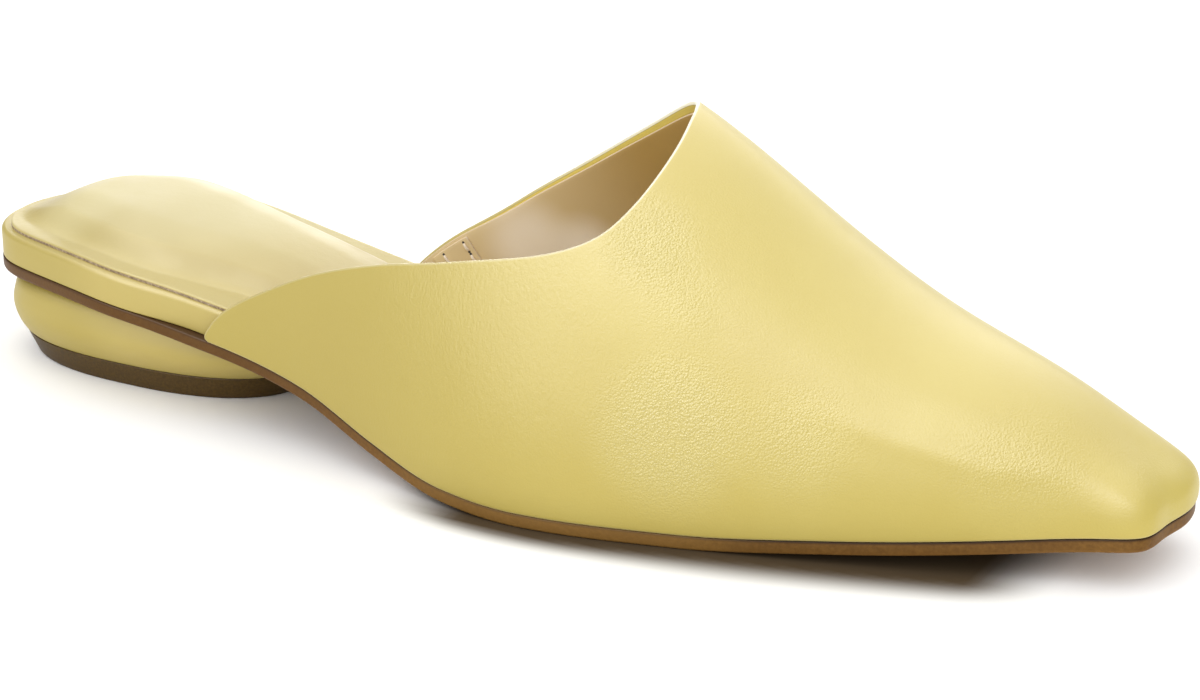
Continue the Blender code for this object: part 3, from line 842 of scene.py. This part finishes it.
# %% Make the vamp
VAMP_WALL = 1.1
CORNER_ROWS = 0.03  # rows are closer together up to here
rows = np.concatenate([np.linspace(0, CORNER_ROWS, 9)[:-1], np.linspace(CORNER_ROWS, 1, 72)])
vamp_grid = creased(upper_grid(rounded_start, rows, 190))
points, faces, folds = shell(vamp_grid, 0.0, VAMP_WALL)
vamp = make_piece("vamp", points, faces, [vamp_leather], marks={"fold": folds}, sharp=80)
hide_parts("upper")

# %% [markdown]
# ## The lining
# Inside, a thin tan lining stops a little short of the fold, so that a band of the yellow leather shows above
# it: about two millimetres at the throat, and next to nothing at the back. It is the same wall again, moved
# inwards, with its top edge stepped down from the topline along the skin.

# %% Make the lining
LINING_THICK = 0.55
LINING_DEPTH = VAMP_WALL + 0.22
REVEAL = (0.15, 0.2, 0.8, 1.7, 2.1)  # millimetres of yellow leather above the lining
REVEAL_UP = (0.0, 0.2, 0.45, 0.8, 1.0)  # and how far up the topline that is
LINING_FOOT = 0.015


def stepped_start(side):
    """The station where the lining starts, by how far up it is."""
    up = np.linspace(0, 1, 160)
    station_step, up_step = inward_step(side, up)
    reveal = np.interp(up, REVEAL_UP, REVEAL)
    stepped_up, station = up + reveal * up_step, topline[side](up) + reveal * station_step
    return lambda at: np.interp(at, stepped_up, station)


rows = np.linspace(LINING_FOOT, 1, 56)
lining_grid = upper_grid(stepped_start, rows, 110)
points, faces, folds = shell(lining_grid, LINING_DEPTH, LINING_THICK, steps=6)
marks = {"fold": folds}
lining = make_piece("lining", points, faces, [lining_finish], marks=marks, sharp=80)

# %% [markdown]
# ## Stays and their stitches
# At both back ends of the upper a small tab, the stay, is stitched over the lining with two rows of thread
# square to the topline. A seam this size can be modelled stitch by stitch: each one is a short bent tube with
# a needle hole at each end, a small plug painted near-black as painted shade for the hole.

# %% Places inside the upper, named by a run along the topline and a step in from it
TAIL_UPS = np.linspace(0, 0.5, 400)
tails = {side: upper_point(side, topline[side](TAIL_UPS), TAIL_UPS) for side in SIDES}
PROBE = 4.0  # millimetres between two points that give the way in from a place on the skin


def inside_point(side, run, step, depth):
    """Run millimetres along the topline from its back end, step in from it, and depth under the skin."""
    up = np.interp(run, arc_lengths(tails[side]), TAIL_UPS)
    station_step, up_step = inward_step(side, up.ravel())
    shape = np.broadcast(run, step).shape
    station = topline[side](up) + step * station_step.reshape(up.shape)
    up = up + step * up_step.reshape(up.shape)
    out = unit(np.cross(*skin_steps(side, station, up))) * (1 if side == "lateral" else -1)
    return (upper_point(side, station, up) - out * depth).reshape(*shape, 3)


def probed(side, run, step, depth):
    """Points on the skin, each moved straight in by its own depth."""
    skin = inside_point(side, run, step, 0.0)
    deep = inside_point(side, run, step, PROBE)
    return skin + (deep - skin) * depth[:, None] / PROBE


def run_at_height(side, height):
    return float(np.interp(height, tails[side][:, 2], arc_lengths(tails[side])))


# %% Make the stays
STAY_THICK = 0.5
STAY_DEPTH = LINING_DEPTH + LINING_THICK - 0.1
STAY_MARGINS = (3.0, 1.2)  # before its first row of stitches and after its second
STAY_STEPS = (0.9, 15.0)  # where it starts and ends, from the topline inwards
TAIL_HEIGHT = 24.0  # the outer side's stay is as far from this height on the topline as the inner side's
ROW_HEIGHTS = (26.0, 29.6)  # where the rows of stitches start, on the inner side's topline
stay_rows = [run_at_height("medial", height) for height in ROW_HEIGHTS]
print("rows of stitches at", np.round(stay_rows, 1), "mm from the tail")


def make_stay(side):
    """Makes it, and gives how much farther along the topline it lies than the inner side's."""
    shift = run_at_height(side, TAIL_HEIGHT) - run_at_height("medial", TAIL_HEIGHT)
    runs = np.linspace(stay_rows[0] - STAY_MARGINS[0], stay_rows[1] + STAY_MARGINS[1], 16) + shift
    steps = np.linspace(*STAY_STEPS, 30)
    grid = inside_point(side, runs[:, None] + 0 * steps[None], steps[None] + 0 * runs[:, None], 0.0)
    if side == "medial":
        grid = grid[:, ::-1]
    points, faces, folds = shell(grid, STAY_DEPTH, STAY_THICK, joined=False, steps=6)
    marks = {"fold": folds}
    make_piece(f"stay_{side}", points, faces, [lining_finish], marks=marks, sharp=80)
    return shift


# %% Make the stitches
STITCH = 2.1
STITCH_PITCH = 2.9
STITCHES = 1.6 + STITCH_PITCH * np.arange(4)  # where each starts, from the topline inwards
THREAD = 0.3  # half its thickness
HOLE_GAP = 0.12  # between the end of a stitch and the middle of its needle hole
HOLE_RADII = (0.3, 0.32, 0.26, 0.01)
HOLE_LEVELS = (-0.2, 0.0, 0.04, 0.05)
ASKEW = (0.3, 0.2, 0.9)  # a direction that no stitch or hole lies along
stitch_depth = STAY_DEPTH + STAY_THICK


def tube(path, radii, sides=10):
    """A tube along a short path, closed at its ends by shrinking radii."""
    ahead = unit(np.gradient(path, axis=0))
    across = unit(np.cross(ahead, ASKEW))
    up = np.cross(ahead, across)
    turn = np.linspace(0, 2 * np.pi, sides, endpoint=False)[None, :, None]
    ring = across[:, None] * np.cos(turn) + up[:, None] * np.sin(turn)
    points = (path[:, None] + ring * np.asarray(radii)[:, None, None]).reshape(-1, 3)
    here = np.arange(sides)
    after = (here + 1) % sides
    strip = np.column_stack([here, after, after + sides, here + sides])
    return points, np.vstack([strip + k * sides for k in range(len(path) - 1)])


def make_stitches(side, shift):
    points, faces, kinds, count = [], [], [], 0
    share = np.linspace(0, 1, 9)
    arch = np.sin(np.pi * share)
    depth = stitch_depth + THREAD * (1.5 * np.sqrt(arch) - 0.8)
    lean = 0.15 * (share - 0.5)
    radii = THREAD * np.clip(arch * 3, 0.02, 1) ** 0.5
    levels = stitch_depth + np.array(HOLE_LEVELS)
    for run in stay_rows:
        for start in STITCHES:
            path = probed(side, run + shift + lean, start + STITCH * share, depth)
            made = [(*tube(path, radii), 0)]
            for end_at in (start - HOLE_GAP, start + STITCH + HOLE_GAP):
                hole = probed(side, np.full(4, run + shift), np.full(4, end_at), levels)
                made.append((*tube(hole, HOLE_RADII), 1))
            for new_points, new_faces, kind in made:
                points.append(new_points)
                faces.append(new_faces + count)
                kinds.append(np.full(len(new_faces), kind))
                count += len(new_points)
    return make_piece(
        f"stay_stitches_{side}",
        np.vstack(points),
        np.vstack(faces),
        [stitch_finish, hole_shade_finish],
        face_finish=np.concatenate(kinds),
    )


for side in SIDES:
    make_stitches(side, make_stay(side))

# %% [markdown]
# ## The padded sock
# What the foot stands on is a leather sock over a foam pad: flat at its border, then a slope up to a gently
# crowned pad, which dies away under the vamp. The slope is short at the sides and long and soft at the back.
# The sock's cut edge shows between it and the rim. A cloth simulation would pillow it evenly, but here the
# slope follows its own line, so the pad is shaped by formula over a dense grid.

# %% Heights of the board and the pad
BOARD_THICK = (6.4, 3.2)  # at the seat, where it is the rim's height, and in the forepart
BOARD_TAPER = (95.0, 155.0)  # where along the sole the one turns into the other
SOCK_INSET = (3.4, 2.8)
SOCK_TUCK = (78.0, 108.0)
SOCK_LIFT = 0.02  # off the board
SOCK_EDGE = 0.9  # its thickness at the cut edge
SOCK_LIP = 0.35
PAD_CROWN = 6.0
PAD_BORDER = {"lateral": (7.5, 11.5), "medial": (4.8, 8.6)}  # outline to padding, at the seat and waist
PAD_WAIST = {"lateral": (50.0, 80.0), "medial": (30.0, 68.0)}
PAD_SLOPE = {"lateral": 9.0, "medial": 7.2}
PAD_BACK = (4.0, 23.5)  # where it starts behind the heel, and where its slope there ends
PAD_END = (60.0, 130.0)
PAD_DOME = 0.24  # the share of its height that the crown loses towards its sides


def board_top(along, across):
    return underside(along) + SOLE_THICK + changing(along, *BOARD_THICK, BOARD_TAPER)


def sock_inset(along):
    return changing(along, *SOCK_INSET, SOCK_TUCK)


def slope(run, length):
    """Up from 0 to 1: most of it in the first half of its length, then rounding over."""
    return 0.7 * ease(run, 0, 0.62 * length) + 0.3 * ease(run, 0, 1.6 * length)


def pad_share(along, across):
    """0 on the flat border and 1 on the crown."""
    edges = {
        "lateral": across - np.interp(along, *outline_lateral.T),
        "medial": np.interp(along, *outline_medial.T) - across,
    }
    share = ease(along, *PAD_BACK) * (1 - ease(along, *PAD_END))
    for side in SIDES:
        edges[side] = edges[side] - changing(along, *PAD_BORDER[side], PAD_WAIST[side])
        share = share * slope(edges[side], PAD_SLOPE[side])
    middle = np.clip(edges["lateral"] / np.maximum(edges["lateral"] + edges["medial"], 1), 0, 1)
    return share * (1 - PAD_DOME * (1 - 2 * middle) ** 2)


def sock_top(along, across):
    return board_top(along, across) + SOCK_EDGE + PAD_CROWN * pad_share(along, across)


# %% Make the sock
def same(amount):
    return lambda along: np.full_like(along, amount)


def rounded(loop, reach, height, turns, way):
    """Rings that round an edge off by reach(along): way is 1 for a lower edge and -1 for an upper one."""

    def ring(turn):
        def inset(along):
            return reach(along) * (1 - np.cos(turn))

        def level(along, across):
            return height(along, across) + way * reach(along) * (1 - np.sin(turn))

        return drawn_in(loop, inset), level

    return [ring(turn) for turn in turns]


sock_loop = sole_loop(sock_inset, 190)
quarter = np.linspace(0, np.pi / 2, 6)
rings = [(sock_loop, lambda along, across: board_top(along, across) + SOCK_LIFT)]
rings += rounded(sock_loop, same(SOCK_LIP), sock_top, quarter, -1)
points, faces, walls = layered(rings, rings[0][1], sock_top, 90)
border = 1 - pad_share(points[:, 0], points[:, 1])
sock = make_piece(
    "padded_sock",
    points,
    faces,
    [sock_finish, cut_finish],
    face_finish=(walls == 0) | (walls == -1),
    marks={"border": border},
)
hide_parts("insole")

# %% [markdown]
# ## The covered rim
# A stiff board under the sock is wrapped in the yellow leather, and shows as a rim round the heel seat. Its
# top edge is rounded where the cover turns over, and its lower edge turns under onto the sole. Rings of
# points drawn in from the outline, one above the other, give both roundings just where they are wanted.

# %% Make the rim
BOARD_INSET = (1.3, 2.3)  # as a rim, and inside the upper
BOARD_TUCK = (50.0, 66.0)
RIM_ROUNDING = 0.9
RIM_FOOT = 0.45
RIM_LIFT = 0.06  # off the sole


def rim_inset(along):
    return changing(along, *BOARD_INSET, BOARD_TUCK)


def rim_foot(along, across):
    return underside(along) + SOLE_THICK + RIM_LIFT


rim_loop = sole_loop(rim_inset, 170)
rings = rounded(rim_loop, same(RIM_FOOT), rim_foot, quarter[::-1], 1)
rings += rounded(rim_loop, same(RIM_ROUNDING), board_top, quarter, -1)
points, faces, walls = layered(rings, rim_foot, board_top, 12)
rim = make_piece("rim", points, faces, [cover_leather])
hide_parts("midsole")

# %% [markdown]
# ## The sole
# The sole is cut from one sheet of leather and follows the last from the heel seat through the shank to the
# tread and the toe spring. Its edge is nearly square in the forepart, with a small bevel below, and has a
# larger bevel round the heel seat. The top edge is eased so that a dark line parts it from the upper. It is
# made of rings again, and the height of each point in the edge is kept as the mark called rise.

# %% Make the sole
SOLE_INSET = (1.2, 0.4)  # at the seat and in the forepart
SOLE_INSET_CHANGE = (50.0, 70.0)
SOLE_BEVEL = (1.0, 0.6)
SOLE_BEVEL_CHANGE = (80.0, 110.0)
SOLE_TOP_EASE = 0.3


def sole_inset(along):
    return changing(along, *SOLE_INSET, SOLE_INSET_CHANGE)


def sole_bevel(along):
    return changing(along, *SOLE_BEVEL, SOLE_BEVEL_CHANGE)


def sole_bottom(along, across):
    return underside(along)


def sole_top(along, across):
    return underside(along) + SOLE_THICK


sole_line = sole_loop(sole_inset, 240)
rings = rounded(sole_line, sole_bevel, sole_bottom, quarter[::-1], 1)
rings += rounded(sole_line, same(SOLE_TOP_EASE), sole_top, quarter[:4], -1)
rings.append((drawn_in(sole_line, same(SOLE_TOP_EASE)), sole_top))
points, faces, walls = layered(rings, sole_bottom, sole_top, 16)
rise = (points[:, 2] - underside(points[:, 0])) / SOLE_THICK
sole = make_piece("sole", points, faces, [sole_finish], marks={"rise": rise})
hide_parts("outsole")

# %% [markdown]
# ## Heel and top piece
# The heel is a low block covered in the same yellow leather, which bulges like a pebble between the sole and
# the ground. It is a stack of squared-off ellipses along smooth curves through the rows of the table, because
# no turned or lathed form has this outline. Below it is the top piece, a flat slab of rubber drawn in a
# little towards the ground.

# %% Rings of the heel
TOP_PIECE_THICK = 5.0
HEEL_GAP = 0.05  # between the heel and what it touches, above and below
HEEL_ACROSS = 0.2
HEEL_SQUARENESS = 2.45
HEEL = (  # level, back, front, half width; level 1 is the heel's lower face and 2 the sole's underside
    (0.00, 9.6, 76.2, 19.5),
    (1.00, 6.6, 79.0, 20.6),
    (1.15, 5.7, 80.4, 22.2),
    (1.35, 5.2, 81.6, 23.9),
    (1.55, 5.2, 82.1, 24.7),
    (1.75, 5.9, 81.8, 24.4),
    (1.92, 7.4, 80.8, 23.4),
    (2.00, 9.4, 79.6, 22.2),
)
heel_rows = np.array(HEEL).T
heel_curves = [smooth_curve(heel_rows[0][1:], row[1:]) for row in heel_rows[1:]]


def heel_loop(back, front, half_width, count=110):
    """Half of a squared-off ellipse on each side."""
    turn = np.linspace(np.pi, 0, count)
    power = 2 / HEEL_SQUARENESS
    along = (back + front) / 2 + (front - back) / 2 * np.sign(np.cos(turn)) * np.abs(np.cos(turn)) ** power
    off = half_width * np.abs(np.sin(turn)) ** power
    return np.column_stack([along, HEEL_ACROSS - off]), np.column_stack([along, HEEL_ACROSS + off])


def heel_line(level):
    return heel_loop(*(curve(level) for curve in heel_curves))


def heel_height(level):
    low = TOP_PIECE_THICK + HEEL_GAP

    def at(along, across):
        return low + (underside(along) - HEEL_GAP - low) * (level - 1)

    return at


# %% Make the heel
HEEL_FOOT = 0.35
rings = rounded(heel_line(1.0), same(HEEL_FOOT), heel_height(1.0), quarter[:0:-1], 1)
rings += [(heel_line(level), heel_height(level)) for level in np.linspace(1.04, 2.0, 26)]
points, faces, walls = layered(rings, heel_height(1.0), heel_height(2.0), 10)
heel_cover = make_piece("heel_cover", points, faces, [cover_leather])
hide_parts("heel")

# %% Make the top piece
SLAB = (  # height, inset, and the height whose outline it is drawn in from
    (0.0, 0.5, 0.0),
    (0.12, 0.15, 0.0),
    (0.5, 0.0, 0.5),
    (1.5, 0.0, 1.5),
    (3.0, 0.0, 3.0),
    (4.6, 0.0, 4.6),
    (4.85, 0.0, 4.85),
    (5.0, 0.12, 5.0),
)


def slab_height(height):
    return lambda along, across: np.full_like(along, height)


def slab_line(height, inset):
    share = height / TOP_PIECE_THICK
    back, front, half_width = (row[0] + (row[1] - row[0]) * share for row in heel_rows[1:])
    return heel_loop(back + inset, front - inset, half_width - inset)


rings = [(slab_line(line_at, inset), slab_height(height)) for height, inset, line_at in SLAB]
points, faces, walls = layered(rings, rings[0][1], rings[-1][1], 8)
top_lift = make_piece("top_lift", points, faces, [rubber_finish], sharp=35)
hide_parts("top_piece")

# %% [markdown]
# ## The floor
# A shoe in a studio stands on a white sweep, and the sweep shows a narrow dark shadow band beside the tread.
# A glossy floor would mirror the lamps too, and show grey far away in a low view. So this floor is matt
# white, and a mark on its fine grid of points paints that shadow beside the tread as painted shadow. The
# band is widest at the ball, and narrower and weaker on the inner side.

# %% Floor
FLOOR_HALF = 6.0  # in metres
FINE_HALF = (0.14, 0.07)  # how far out its points are close together, in metres
FINE_STEP = 0.002
FLOOR_WHITE = (0.98, 0.98, 0.98, 1)
FLOOR_PAINTED_SHADOW = (0.085, 0.06, 0.035, 1)
CLOSE_DARK = 2.0  # how far beside the outline the band stays dark, in millimetres
CLOSE_BARE = (9.0, 14.0)  # and where it has faded, at the waist and at the ball
CLOSE_WIDENING = (150.0, 205.0)
CLOSE_BACK = (117.0, 141.0)  # it starts at the waist
CLOSE_TOE = (235.0, 252.0)  # and ends under the toe
INNER_STRENGTH = 0.6
INNER_HASTE = 1.6  # how much sooner it fades on the inner side


def studio_floor():
    material, place = begin("studio_floor")
    # painted shadow: the white floor is painted dark where the mark is high
    return end(material, place.mark("painted_shadow").pick(FLOOR_WHITE, FLOOR_PAINTED_SHADOW), 0.5, Specular_IOR_Level=0.0)


def painted_floor_shadow(points):
    """How much painted shadow each point of the floor gets: 1 beside and under the tread, 0 away from it."""
    along, across = points[:, 0], points[:, 1]
    past_inner = across - np.interp(along, *outline_medial.T)
    past_outer = np.interp(along, *outline_lateral.T) - across
    outside = np.maximum(past_outer, past_inner)
    span = ease(along, *CLOSE_BACK) * (1 - ease(along, *CLOSE_TOE))
    strength = np.where(past_inner > 0, INNER_STRENGTH, 1.0)
    haste = np.where(past_inner > 0, INNER_HASTE, 1.0)
    bare = changing(along, *CLOSE_BARE, CLOSE_WIDENING)
    return span * strength * (1 - ease(outside * haste, CLOSE_DARK, bare))


def floor_line(half):
    """Places across the floor, close together in its middle."""
    return [-FLOOR_HALF, *np.arange(-half, half + FINE_STEP / 4, FINE_STEP), FLOOR_HALF]


xs, ys = (floor_line(half) for half in FINE_HALF)
grid_x, grid_y = np.meshgrid(xs, ys)
floor_points = np.stack([grid_x, grid_y, np.zeros_like(grid_x)], -1).reshape(-1, 3)
floor_mesh = bpy.data.meshes.new("floor")
floor_mesh.from_pydata(floor_points.tolist(), [], grid_faces(len(ys), len(xs)).tolist())
floor_mesh.materials.append(studio_floor())
layer = floor_mesh.attributes.new("painted_shadow", "FLOAT", "POINT")
layer.data.foreach_set("value", painted_floor_shadow(floor_points / MM + ORIGIN).astype(np.float32))
floor = bpy.data.objects.new("floor", floor_mesh)
bpy.context.scene.collection.objects.link(floor)
print("floor:", len(floor_mesh.polygons), "faces")

# %% [markdown]
# ## Light
# In a white studio soft light comes from everywhere, and that is the world's even white. It makes the soft
# shadow under the shoe, but an even world has nothing in it for a satin leather to shine with. So broad lamps
# stand overhead, in front and behind, and all but the last of them are seen in gloss only: each one gives
# the leather a sheen of its own and leaves the even light alone. The last is a weak fill near the floor.

# %% Light
STUDIO_WHITE = 1.41

world = bpy.data.worlds.new("studio")
bpy.context.scene.world = world
world.use_nodes = True
backdrop = world.node_tree.nodes["Background"]
backdrop.inputs["Color"].default_value = (1, 1, 1, 1)
backdrop.inputs["Strength"].default_value = STUDIO_WHITE
world.cycles_visibility.glossy = False


def softbox(name, place, towards, width, height, radiance, sheen_only=True):
    """A rectangular lamp of even radiance, in metres. It gives sheen alone, unless told to do more."""
    lamp = bpy.data.lights.new(name, "AREA")
    lamp.shape = "RECTANGLE"
    lamp.size, lamp.size_y = width, height
    lamp.energy = radiance * np.pi * width * height
    holder = bpy.data.objects.new(name, lamp)
    holder.location = place
    holder.rotation_euler = (Vector(towards) - Vector(place)).to_track_quat("-Z", "Y").to_euler()
    holder.visible_diffuse = not sheen_only
    bpy.context.scene.collection.objects.link(holder)


softbox("overhead", (-0.29, 0.25, 0.95), (-0.29, 0.25, 0.0), 1.43, 1.2, 5.35)
softbox("front_top", (-0.29, -0.7, 0.95), (-0.29, -0.7, 0.0), 1.43, 0.7, 12.1)
softbox("front", (-0.33, -1.05, 0.665), (-0.33, 0.0, 0.665), 1.33, 0.57, 4.9)
softbox("front_low", (-0.4, -1.05, 0.25), (-0.4, 0.0, 0.25), 1.05, 0.26, 5.2)
softbox("rear", (-0.08, 1.2, 0.86), (-0.08, 0.0, 0.86), 0.76, 0.88, 5.5)
softbox("rear_low", (-0.03, 1.25, 0.2), (-0.03, 0.0, 0.2), 0.76, 0.44, 1.5)
softbox("rear_left", (-0.92, 1.25, 0.32), (-0.92, 0.0, 0.32), 0.95, 0.46, 7.0)
softbox("fill", (0.1, -1.3, 0.3), (0.0, 0.0, 0.02), 2.0, 0.5, 0.5, sheen_only=False)
print("lamps:", [lamp.name for lamp in bpy.data.lights])

# %% [markdown]
# ## The camera
# The view is from the outer side, 29 degrees round towards the toe and 21 degrees up. A long lens close by
# makes the toe look a little larger than the heel, as it does to someone bending over the shoe. The camera's
# axes are worked out from the way it looks back from the shoe, which is easier to change than its angles.

# %% Camera
BACK = Vector((0.45459, -0.81507, 0.35918)).normalized()  # from the shoe towards the camera
TARGET = Vector((np.array([136.68, 16.85, 13.07]) - ORIGIN) * MM)
DISTANCE = 0.65
LENS = 95.29
SENSOR = 36
ROLL = np.radians(-0.12)
level_right = Vector((0, 0, 1)).cross(BACK).normalized()
level_up = BACK.cross(level_right)
right = level_right * float(np.cos(ROLL)) + level_up * float(np.sin(ROLL))
up = BACK.cross(right)
lens = bpy.data.cameras.new("camera")
lens.lens = LENS
lens.sensor_width = SENSOR
lens.clip_start = 0.01
camera = bpy.data.objects.new("camera", lens)
turned = Matrix((right, up, BACK)).transposed().to_4x4()
camera.matrix_world = Matrix.Translation(TARGET + BACK * DISTANCE) @ turned
bpy.context.scene.collection.objects.link(camera)
bpy.context.scene.camera = camera
bpy.context.scene.view_settings.view_transform = "Standard"
print("camera at", [round(v, 3) for v in camera.matrix_world.translation])

# %% The end
bpy.context.view_layer.update()
